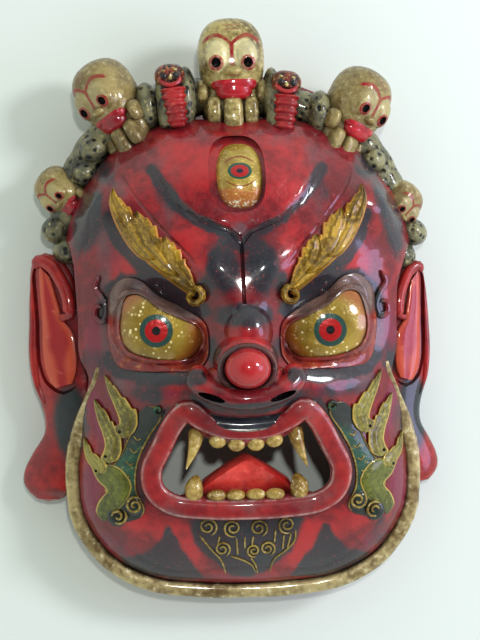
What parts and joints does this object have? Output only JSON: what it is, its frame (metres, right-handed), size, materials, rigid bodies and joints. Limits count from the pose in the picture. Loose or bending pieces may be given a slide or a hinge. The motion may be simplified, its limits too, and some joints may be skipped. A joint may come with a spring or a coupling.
{
  "type": "carved wooden cham dance mask",
  "caption": "Hollow carved and painted wooden face mask with three eyes, fangs, long ears and a crown of skulls and snakes, lying face up.",
  "frame": {"origin": "centre of the bounding box's footprint, on the plane of the back rim that the mask lies on", "axes": "+X to the viewer's right across the face, +Y from the chin to the crown, +Z out of the face towards the viewer"},
  "size_m": [0.3604, 0.4964, 0.1678],
  "materials": {
    "painted_wood": "lacquered paint on carved wood: worn vermilion with dark green-blue shading, old gilding on skulls, brows, teeth and rim"
  },
  "bodies": {
    "root": {"mask": "painted_wood"}
  },
  "joints": []
}
